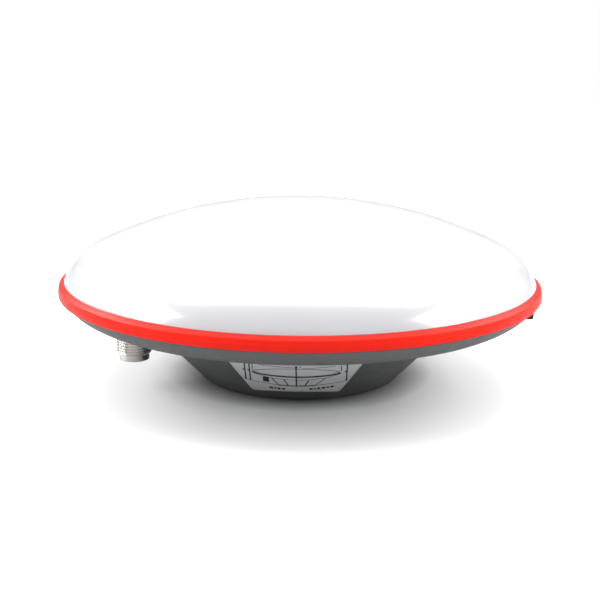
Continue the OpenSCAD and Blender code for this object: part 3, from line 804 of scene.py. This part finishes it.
print("faces once drilled:", len(housing.data.polygons))

# %% [markdown]
# ## The label plate
# The label is a thin printed aluminium plate, let into the cone. It is cut as a
# trapezoid seen from the front and then follows the cone. A flat plate could be
# bent on by a modifier, but its thickness would wander, so a helper places each
# vertex by its sideways offset, its height and its depth under the paint.

# %% Points on the cone
LABEL_Z = (3.9 * MM, 18.3 * MM)
LABEL_HALF = (14.2 * MM, 22.2 * MM)
LABEL_ARCH = 0.8 * MM
LABEL_CORNER = 1 * MM
LABEL_DEEP = 0.3 * MM
LABEL_THICK = 0.2 * MM
LABEL_GAP = 0.12 * MM
label_flare = (LABEL_HALF[1] - LABEL_HALF[0]) / (LABEL_Z[1] - LABEL_Z[0])


def on_boss(x, z, depth):
    """The point x sideways and z up on the cone's front, depth under its skin."""
    reach = boss_r(z) - depth / math.sin(BOSS_SLOPE)
    return Vector((x, -math.sqrt(reach ** 2 - x ** 2), z))


def label_grid(mesh, grow, depth, columns=72, rows=24):
    """The trapezoid grown by grow, as a grid of vertices at one depth."""
    grid = []
    for i in range(rows + 1):
        row = []
        for j in range(columns + 1):
            across = math.sin(math.pi / 2 * (2 * j / columns - 1))
            low = LABEL_Z[0] - grow - LABEL_ARCH * across ** 2
            width = LABEL_HALF[0] + grow * 1.2
            into = max(0, abs(across) * width - width + LABEL_CORNER) / LABEL_CORNER
            low += LABEL_CORNER * (1 - math.sqrt(max(0, 1 - into ** 2)))
            z = low + (LABEL_Z[1] + grow - low) * i / rows
            half = width + label_flare * (z - LABEL_Z[0])
            row.append(mesh.verts.new(on_boss(across * half, z, depth)))
        grid.append(row)
    return grid


print("slant of the label's sides, in degrees:", round(math.degrees(math.atan(label_flare)), 1))


# %% A closed plate that follows the cone
def border(grid):
    """The vertices round a grid's edge, in order."""
    right = [row[-1] for row in grid[1:-1]]
    left = [row[0] for row in grid[1:-1]]
    return grid[0] + right + grid[-1][::-1] + left[::-1]


def add_label_shell(mesh, layers):
    """A closed plate whose border runs through layers of (grow, depth)."""
    grids = [label_grid(mesh, grow, depth) for grow, depth in layers]
    for grid in (grids[0], grids[-1]):
        for low, high in zip(grid, grid[1:]):
            for j in range(len(low) - 1):
                mesh.faces.new((low[j], low[j + 1], high[j + 1], high[j]))
    for inner, outer in zip(grids, grids[1:]):
        near, far = border(inner), border(outer)
        for i in range(len(near)):
            j = (i + 1) % len(near)
            mesh.faces.new((near[i], near[j], far[j], far[i]))
    for grid in grids[1:-1]:
        inside = [vert for row in grid[1:-1] for vert in row[1:-1]]
        bmesh.ops.delete(mesh, geom=inside, context="VERTS")


face_depth = LABEL_DEEP - LABEL_THICK
print("the plate's face lies", round(face_depth / MM, 2), "mm under the paint")

# %% Cut the label's recess and finish the housing
recess = bmesh.new()
add_label_shell(recess, [(LABEL_GAP, LABEL_DEEP), (LABEL_GAP, -1 * MM)])
applied(housing, piece_from("recess", recess), "DIFFERENCE")
softened(housing)
dress(housing, paint, "housing_grey", "lower_housing")

# %% Label plate
plate_mesh = bmesh.new()
add_label_shell(plate_mesh, [
    (-0.06 * MM, face_depth), (-0.02 * MM, face_depth + 0.02 * MM),
    (0, face_depth + 0.06 * MM), (0, LABEL_DEEP)])
label_plate = piece_from("label_plate", plate_mesh)
dress(label_plate, plate, "label_grey", "label")

# %% [markdown]
# ## The printed drawing
# Surveyors need to know how high the antenna's electrical centre lies above
# the pole, so such a label carries a small side view of the head with height
# lines beside it. It was printed flat and then wrapped round the cone. The
# drawing is therefore set out on the unrolled cone, in millimetres sideways
# and millimetres from the cone's tip, at about one sixth of full size. Words
# and values are left out; plain bars stand in their places.

# %% Wrap flat print round the cone
PRINT_TURN = math.radians(-89.6)
INK_ABOVE = 0.025 * MM
INK_BELOW = 0.0125 * MM
INK_GAIN = 1.5  # screen ink spreads, so a line comes out this much wider


def wrapped(u, v, depth):
    """The point u mm sideways and v mm from the cone's tip on the unrolled cone."""
    reach = math.hypot(u, v) * MM * math.cos(BOSS_SLOPE)
    turn = PRINT_TURN + math.atan2(u, v) / math.cos(BOSS_SLOPE)
    z = (reach - FOOT_R) * math.tan(BOSS_SLOPE)
    reach -= depth / math.sin(BOSS_SLOPE)
    return Vector((reach * math.cos(turn), reach * math.sin(turn), z))


print("the foot's edge lies", round(FOOT_R / MM / math.cos(BOSS_SLOPE), 2), "mm from the cone's tip")


# %% A stroke of ink
def add_stroke(mesh, points, width, step=0.4):
    """A ribbon of ink along a line of (u, v) points."""
    front = face_depth - INK_ABOVE
    back = face_depth + INK_BELOW
    path = [Vector(points[0])]
    for here, there in zip(points, points[1:]):
        here, there = Vector(here), Vector(there)
        count = max(1, round((there - here).length / step))
        path += [here.lerp(there, i / count) for i in range(1, count + 1)]
    rows = []
    for i, point in enumerate(path):
        along = (path[min(i + 1, len(path) - 1)] - path[max(i - 1, 0)]).normalized()
        side = Vector((-along.y, along.x)) * width * INK_GAIN / 2
        left, right = point + side, point - side
        section = ((left, front), (right, front), (right, back), (left, back))
        rows.append([mesh.verts.new(wrapped(edge.x, edge.y, depth)) for edge, depth in section])
    for low, high in zip(rows, rows[1:]):
        for i in range(4):
            j = (i + 1) % 4
            mesh.faces.new((low[i], low[j], high[j], high[i]))
    mesh.faces.new(rows[0][::-1])
    mesh.faces.new(rows[-1])


def mirrored(points):
    return [(-u, v) for u, v in points]


print("ink stands", round(INK_ABOVE / MM, 3), "mm proud of the plate")

# %% The side view
BASE = 56.8
drawing = bmesh.new()
dome_line = [
    (-13.7, 62.8), (-13.3, 63.7), (-12.4, 64.6), (-10, 65.7),
    (-6.8, 66.8), (-3.4, 67.4), (0, 67.6)]
add_stroke(drawing, dome_line + mirrored(dome_line)[-2::-1], 0.16)
ring_line = [(-13.7, 62.8), (-12.4, 62.45), (0, 62.5), (12.4, 62.45), (13.7, 62.8)]
add_stroke(drawing, ring_line, 0.6)
for side in (-1, 1):
    add_stroke(drawing, [(side * 13.9, 62.75), (side * 12.3, 63.4), (side * 11.4, 63.45)], 0.2)
    add_stroke(drawing, [(side * 12.6, 62), (side * 10.5, 62.2)], 0.2)
add_stroke(drawing, [(-11.5, 61.7), (-7.5, 60.9), (0, 60.5), (9.1, 61), (11.5, 61.7)], 0.14)
add_stroke(drawing, [(-7.6, 60.9), (-5.6, BASE)], 0.26)
add_stroke(drawing, [(9.1, 61), (5.7, BASE)], 0.2)
add_stroke(drawing, [(-3.8, 60.5), (-2.5, BASE)], 0.26)
add_stroke(drawing, [(3.9, 60.5), (2.6, BASE)], 0.26)
add_stroke(drawing, [(-15.9, BASE + 0.1), (15.7, BASE + 0.1)], 0.14)
add_stroke(drawing, [(-5.6, BASE), (5.8, BASE)], 0.38)
add_stroke(drawing, [(0, BASE - 0.4), (0, 68.6)], 0.3)
add_stroke(drawing, [(-11.7, 68.4), (-0.8, 68.5)], 0.16)
add_stroke(drawing, [(2, 67.9), (12, 67.9)], 0.16)
print("faces in the side view:", len(drawing.faces))

# %% The height lines
height_lines = [(-16, 67.4, BASE + 0.3), (-14.5, 67.9, BASE + 0.3), (15.7, 67.3, BASE + 0.4)]
for u, top, low in height_lines:
    add_stroke(drawing, [(u, top), (u, low)], 0.3)
    for end in (top, low):
        add_stroke(drawing, [(u - 0.36, end), (u + 0.36, end)], 0.4)
    middle = (top + low) / 2 + 0.7
    add_stroke(drawing, [(u - 0.75, middle), (u - 0.1, middle)], 0.34)
    add_stroke(drawing, [(u - 0.75, middle + 0.55), (u - 0.1, middle + 0.55)], 0.2)
add_stroke(drawing, [(-13.5, 68.1), (-13.6, 64.1)], 0.18)
add_stroke(drawing, [(13.8, 67.7), (13.9, 63.9)], 0.18)
print("faces with the height lines:", len(drawing.faces))

# %% The solid marks: the electrical centre, a data square and two plain legends
add_stroke(drawing, [(-0.42, 68.65), (0.42, 68.65)], 0.75)
add_stroke(drawing, [(1.05, 68.7), (1.45, 68.7)], 0.4)
add_stroke(drawing, [(-10.45, 59.55), (-8.5, 59.55)], 2.1)
LEGEND_V = 54.6
legend_bars = [
    (-8.6, 1.3), (-6.9, 0.6), (-6, 1), (-4.6, 1), (4, 1.1),
    (5.5, 0.5), (6.4, 1), (7.8, 1.2), (9.4, 0.8), (10.6, 1.1)]
for u, length in legend_bars:
    add_stroke(drawing, [(u, LEGEND_V), (u + length, LEGEND_V + 0.02 * u)], 0.72)
label_drawing = piece_from("label_drawing", drawing)
dress(label_drawing, ink, None)

# %% [markdown]
# ## The antenna jack
# A coaxial jack of this family is turned from brass bar and nickel plated: a
# plain nose that guides the plug, a coupling thread, a hexagonal flange to hold
# it by and a rear thread for its nut. All of it is one turned outline, because
# the hexagon and the threads are only radii that change with the angle.

# %% Jack body
THREAD_PITCH = 0.907 * MM
THREAD_R = 5.55 * MM
THREAD_ROOT = 5.03 * MM
NOSE_R = 4.75 * MM
MOUTH_R = 4.1 * MM
FLANGE_LOW = 17.7 * MM
FLANGE_HIGH = 19.8 * MM
FLAT_HALF = 6.5 * MM
REAR_R = 5.2 * MM
REAR_ROOT = 4.75 * MM
REAR_PITCH = 0.75 * MM
REAR_END = 28.6 * MM
DIELECTRIC_R = 2.4 * MM
MOUTH_END = 16.6 * MM
FLAT_TURN = math.radians(15)

nose_z = JACK.z
deep = nose_z + 4 * MM
hexagon = across_flats(FLAT_HALF, FLAT_TURN)
chamfered = across_flats(FLAT_HALF, FLAT_TURN, 6.75 * MM)
nose = rounded([
    (MOUTH_R, deep, 0), (MOUTH_R, nose_z, 0.25 * MM), (NOSE_R, nose_z, 0.25 * MM),
    (NOSE_R, deep, 0)], 3)[1:-1]
jack_outline = (
    nose
    + [(NOSE_R, nose_z + 1.9 * MM), (THREAD_ROOT - 0.15 * MM, nose_z + 2.05 * MM)]
    + thread_rows(THREAD_ROOT, THREAD_R, THREAD_PITCH, nose_z + 2.1 * MM, 17.25 * MM)
    + [(THREAD_ROOT, 17.3 * MM), (THREAD_ROOT, FLANGE_LOW)]
    + [(6.1 * MM, FLANGE_LOW), (6.4 * MM, 17.72 * MM), (chamfered, 17.8 * MM)]
    + [(hexagon, 18.2 * MM), (hexagon, 19.3 * MM), (chamfered, 19.72 * MM)]
    + [(6.3 * MM, FLANGE_HIGH), (4.9 * MM, FLANGE_HIGH)]
    + thread_rows(REAR_ROOT, REAR_R, REAR_PITCH, 20 * MM, 28.3 * MM, 8)
    + [(4.6 * MM, REAR_END), (DIELECTRIC_R, REAR_END), (DIELECTRIC_R, 16.7 * MM)]
    + [(2.5 * MM, MOUTH_END), (3.9 * MM, MOUTH_END), (MOUTH_R, 16.4 * MM), (MOUTH_R, deep)]
)
jack = turned("jack_body", jack_outline, 144, JACK, 40)
dress(jack, nickel, "nickel", "tnc_body")

# %% [markdown]
# The rear nut pulls the flange's face onto the gasket from inside. A cylinder
# with six sides has no chamfer, so the nut is turned as well. It is chamfered
# on its outer side only, as thin panel nuts are.

# %% Jack nut
NUT_HALF = 7 * MM
NUT_BORE_R = 5.3 * MM
NUT_LOW = 25.2 * MM
NUT_HIGH = 27.9 * MM
nut_hex = across_flats(NUT_HALF, FLAT_TURN)
nut_corner = across_flats(NUT_HALF, FLAT_TURN, 7.4 * MM)
nut_outline = [
    (NUT_BORE_R, NUT_LOW), (nut_hex, NUT_LOW), (nut_hex, 27.3 * MM), (nut_corner, 27.75 * MM),
    (NUT_HALF, NUT_HIGH), (5.6 * MM, NUT_HIGH), (NUT_BORE_R, 27.6 * MM)]
dress(turned("jack_nut", nut_outline, 96, JACK, 30), nickel, "nickel", "tnc_nut")

# %% [markdown]
# ## The pole insert
# Survey poles end in a 5/8 inch thread with eleven turns to the inch. The
# casting is too soft for it, so a steel insert carries the thread. The thread
# could be painted on as a bump, but it is coarse enough to show its shape, so
# its ridges are real: the same rows as on the jack, with the crest inwards.

# %% Pole insert
POLE_PITCH = 25.4 / 11 * MM
POLE_MINOR = 6.85 * MM
POLE_MAJOR = 7.94 * MM
insert_outline = (
    rounded([
        (POLE_MAJOR, INSERT_TOP, 0), (INSERT_R, INSERT_TOP, 0.3 * MM), (INSERT_R, SEAT_Z, 0),
        (SEAT_R, SEAT_Z, 0), (SEAT_R, 0, 0.25 * MM),
        (POLE_MAJOR + 0.15 * MM, 0, 0)], 3)
    + thread_rows(POLE_MAJOR, POLE_MINOR, POLE_PITCH, 0.1 * MM, INSERT_TOP - 0.05 * MM, 20)
)
dress(turned("insert_threaded", insert_outline, 144), steel, "steel", "pole_insert")

# %% [markdown]
# ## Screws
# The closing screws are stainless cap heads with a hexagonal socket. Their
# sockets hold shadow and their rims hold a highlight, which is what tells the
# eye that they are screws and not plugs. A socket could be cut by a boolean,
# but since a hexagon is only a radius here, one outline makes head, socket,
# shank and thread together.

# %% One screw
def add_screw(mesh, centre, seat, head_r, head_h, length, shank_r, socket):
    """A screw driven upwards, its head below seat."""
    low = seat - head_h
    key = across_flats(socket)
    mouth = across_flats(socket * 1.12)
    depth = min(1.3 * MM, head_h * 0.6)
    outline = [
        (0, low + depth), (key, low + depth), (key, low + 0.12 * MM), (mouth, low),
        (head_r - 0.25 * MM, low), (head_r - 0.07 * MM, low + 0.08 * MM), (head_r, low + 0.28 * MM),
        (head_r, seat - 0.08 * MM), (head_r - 0.08 * MM, seat), (shank_r, seat)]
    end = seat + length
    outline += thread_rows(shank_r * 0.8, shank_r, 0.5 * MM, seat + 0.2 * MM, end - 0.3 * MM, 6)
    outline += [(shank_r * 0.7, end), (0, end)]
    add_turned(mesh, outline, 48, centre, False)


print("a screw is one outline, spun in 48 segments")

# %% Closing screws
SCREW_SEAT = 24.6 * MM
CLOSING_SCREW = {
    "head_r": 2.8 * MM, "head_h": 2.2 * MM, "length": 8.9 * MM, "shank_r": 1.45 * MM, "socket": 1 * MM}
screws = bmesh.new()
for station in STATIONS:
    add_screw(screws, polar(BOSS_ORBIT, station), SCREW_SEAT, **CLOSING_SCREW)
dress(piece_from("closing_screws", screws), steel, "steel", "housing_screws")

# %% [markdown]
# ## The height lug and the vent
# The lug is a small moulding under the rim, of the kind that a height tape is
# held against. The frame already has its shape, so it isn't modelled again: the
# frame's mesh is copied, its flat faces are merged, and a bevel breaks the
# edges as the mould's radius would.

# %% Lug
LUG_TURN = math.radians(-9)
lug_mesh = bmesh.new()
lug_mesh.from_mesh(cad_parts["height_lug"].data)
bmesh.ops.remove_doubles(lug_mesh, verts=lug_mesh.verts, dist=1e-6)
bmesh.ops.dissolve_limit(
    lug_mesh, angle_limit=math.radians(1), verts=lug_mesh.verts, edges=lug_mesh.edges)
crisp = [e for e in lug_mesh.edges if e.is_manifold and e.calc_face_angle() > math.radians(40)]
bmesh.ops.bevel(
    lug_mesh, geom=crisp, offset=0.12 * MM, segments=2, affect="EDGES", clamp_overlap=True)
dress(piece_from("lug_moulding", lug_mesh, 50), lug_black, "lug_black", "height_lug")

# %% Lug screws
LUG_SCREW_REACH = 75.4 * MM
LUG_SCREW = {
    "head_r": 1.6 * MM, "head_h": 0.5 * MM, "length": 3.5 * MM, "shank_r": 0.85 * MM,
    "socket": 0.52 * MM}
lug_screws = bmesh.new()
for aside in (-5 * MM, 5 * MM):
    place = Matrix.Rotation(LUG_TURN, 2) @ Vector((LUG_SCREW_REACH, aside))
    add_screw(lug_screws, place, SCREW_SEAT, **LUG_SCREW)
dress(piece_from("lug_fixings", lug_screws), steel, "steel", "lug_screws")

# %% [markdown]
# The vent lets the head breathe through a membrane behind a slightly domed cap.
# The cap is turned. Its three slots run right across it, so they are cut
# afterwards by bars, each a hair lower than the last, because a boolean is
# unsure of faces that lie exactly on each other.

# %% Vent cap
vent_z = 21 * MM
vent_outline = [
    (0, vent_z - 1.6 * MM), (2.4 * MM, vent_z - 1.57 * MM), (3.8 * MM, vent_z - 1.45 * MM),
    (4.35 * MM, vent_z - 1.2 * MM), (4.6 * MM, vent_z - 0.75 * MM), (4.6 * MM, vent_z),
    (3.05 * MM, vent_z), (3.05 * MM, vent_z + 4.2 * MM), (2.85 * MM, vent_z + 4.4 * MM),
    (2 * MM, vent_z + 4.4 * MM), (2 * MM, vent_z + 0.8 * MM), (0, vent_z + 0.8 * MM)]
vent = turned("vent_cap", vent_outline, 96, VENT)
SLOT_BAR = (12 * MM, 0.8 * MM, 0.7 * MM)
slots = bmesh.new()
for i in range(3):
    bar = bmesh.ops.create_cube(slots, size=1)["verts"]
    bmesh.ops.scale(slots, verts=bar, vec=SLOT_BAR)
    spin = Matrix.Rotation(math.pi / 3 * i, 3, "Z")
    bmesh.ops.rotate(slots, verts=bar, cent=(0, 0, 0), matrix=spin)
    bar_z = vent_z - 0.55 * MM - 0.002 * i * MM
    bmesh.ops.translate(slots, verts=bar, vec=(VENT.x, VENT.y, bar_z))
applied(vent, piece_from("slots", slots), "DIFFERENCE")
softened(vent)
dress(vent, vent_black, "vent_black", "vent_plug")

# %% [markdown]
# ## The frame's own nodes
# Boards, discs, patches, spacers and pins are already exact in the frame, and
# nearly all of them lie inside the head. Modelling them again would only repeat
# the same faces, so each keeps its shape and gets the finish of the real part.

# %% Give the frame's nodes their finishes
node_finish = {
    "radome_inserts": brass, "rim_seal": seal_black,
    "screw_seals": seal_black, "vent_membrane": ptfe,
    "tnc_insulator": ptfe, "tnc_contact": gold, "tnc_gasket": seal_black, "tnc_washer": nickel,
    "coax_pigtail": jacket, "coax_plug": gold, "board_socket": gold,
    "amplifier_board": board, "board_components": chip_black, "shield_can": tin,
    "board_spacers": steel, "board_screws": steel, "ground_plane": aluminium, "ground_screws": steel,
    "lower_disc": ivory, "lower_patch": copper, "upper_disc": ivory, "upper_patch": copper,
    "patch_screw": brass, "patch_nut": brass, "lower_feed_pins": gold, "upper_feed_pins": gold,
}
for name, material in node_finish.items():
    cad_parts[name].data.materials.clear()
    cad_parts[name].data.materials.append(material)
print("nodes with a finish:", len(node_finish))

# %% [markdown]
# ## The studio lights
# A glossy dome is mostly a picture of its lights, so they are large soft boxes:
# one overhead for the top, one on each side for the shoulders, and weak ones at
# the front for the ring and the label. A sky picture could light it all at
# once, but boxes can be moved and dimmed one at a time. The box below the floor
# only lights the foot when the head is looked at from beneath.

# %% Lights
def area_light(name, place, aim, width, height, power):
    """A soft box of width by height metres at place, aimed at a point, in watts."""
    data = bpy.data.lights.new(name, "AREA")
    data.shape = "RECTANGLE"
    data.size = width
    data.size_y = height
    data.energy = power
    light = bpy.data.objects.new(name, data)
    light.location = place
    light.rotation_euler = (Vector(aim) - Vector(place)).to_track_quat("-Z", "Y").to_euler()
    bpy.context.scene.collection.objects.link(light)
    print(f"{name}: {power} W")


HEAD = (0, 0, 50 * MM)
area_light("overhead_box", (0, 0.5, 1.0), (0, 0.15, 0), 2.0, 1.5, 23)
area_light("left_box", (-1.05, 0.15, 0.64), HEAD, 1.4, 0.6, 27)
area_light("right_box", (1.05, 0.15, 0.64), HEAD, 1.4, 0.6, 25)
area_light("back_box", (0, 1.5, 0.4), HEAD, 1.6, 0.8, 1.6)
area_light("front_box", (0, -1.15, 1.0), HEAD, 1.6, 0.5, 1.6)
area_light("low_front_box", (0, -1.3, 0.24), (0, 0, 0.02), 2.2, 0.35, 2.6)
area_light("under_box", (0.1, -0.1, -0.6), (0, 0, 0), 0.5, 0.5, 2)

# %% [markdown]
# ## The air
# The backdrop is pure white, but a white world that also lit the head would
# flatten every shadow. A Light Path node tells the two apart: rays that come
# straight from the camera see white, and all others see a dim grey.

# %% World
world = bpy.data.worlds.new("studio_air")
world.use_nodes = True
bpy.context.scene.world = world
air = world.node_tree
lighting = air.nodes["Background"]
lighting.inputs["Color"].default_value = (0.95, 0.95, 0.96, 1)
lighting.inputs["Strength"].default_value = 0.1
backdrop = air.nodes.new("ShaderNodeBackground")
backdrop.inputs["Color"].default_value = (1, 1, 1, 1)
choice = air.nodes.new("ShaderNodeMixShader")
ray = air.nodes.new("ShaderNodeLightPath")
air.links.new(ray.outputs["Is Camera Ray"], choice.inputs["Fac"])
air.links.new(lighting.outputs["Background"], choice.inputs[1])
air.links.new(backdrop.outputs["Background"], choice.inputs[2])
air.links.new(choice.outputs["Shader"], air.nodes["World Output"].inputs["Surface"])
print("nodes in the world:", len(air.nodes))

# %% [markdown]
# ## The floor
# The head stands on a pale sweep that melts into the backdrop. A plane would
# end in a hard line, so the floor is a wide ring of mesh that fades out with
# distance. It is open under the foot and clear from below, so that the
# underside can be looked at too.

# %% Floor shape
FOOT_CLEAR = 0.03
FLOOR_STEPS = (FOOT_CLEAR, 0.2, 0.5, 1.0, 1.6)
floor_mesh = bmesh.new()
add_turned(floor_mesh, [(reach, 0) for reach in FLOOR_STEPS], 96, AXIS, False)
floor = piece_from("studio_floor", floor_mesh)
if floor.data.polygons[0].normal.z < 0:
    floor.data.flip_normals()
print("faces in the floor:", len(floor.data.polygons))

# %% [markdown]
# Light that bounces off a white floor would wash out the cone, so the floor is
# pale to the camera and darker to every other ray. Close to the foot a painted
# shade darkens its colour as well, where hardly any light gets in between the two.

# %% Floor finish
SEEN_GREY = (0.93, 0.93, 0.93)
BOUNCED_GREY = (0.42, 0.42, 0.42)
pale, pale_shader = start_finish("studio_floor", (0.9, 0.9, 0.9), 0.5)
floor_ray = node_of(pale, "ShaderNodeLightPath")
shade = tinted(pale, floor_ray.outputs["Is Camera Ray"], BOUNCED_GREY, SEEN_GREY)
reach = node_of(pale, "ShaderNodeVectorMath", operation="LENGTH")
wire(pale, place_of(pale), reach.inputs[0])
# painted contact shade: the floor's colour falls to a twentieth of itself next to the foot
contact = ranged(pale, reach.outputs["Value"], 0.05, 1.0, FOOT_CLEAR, 0.045)
darker = node_of(pale, "ShaderNodeVectorMath", operation="SCALE")
wire(pale, shade, darker.inputs[0])
wire(pale, contact, darker.inputs["Scale"])
wire(pale, darker.outputs["Vector"], pale_shader.inputs["Base Color"])
print("nodes in the floor's colour:", len(pale.node_tree.nodes))

# %% Floor fade
fade = ranged(pale, reach.outputs["Value"], 1.0, 0.0, 0.45, 1.3)
above = node_of(pale, "ShaderNodeMath", operation="SUBTRACT")
above.inputs[0].default_value = 1
wire(pale, node_of(pale, "ShaderNodeNewGeometry").outputs["Backfacing"], above.inputs[1])
shown = node_of(pale, "ShaderNodeMath", operation="MULTIPLY")
wire(pale, fade, shown.inputs[0])
wire(pale, above.outputs["Value"], shown.inputs[1])
wire(pale, shown.outputs["Value"], pale_shader.inputs["Alpha"])
floor.data.materials.append(pale)
bpy.context.scene.view_settings.view_transform = "Standard"
print("nodes in the floor's finish:", len(pale.node_tree.nodes))
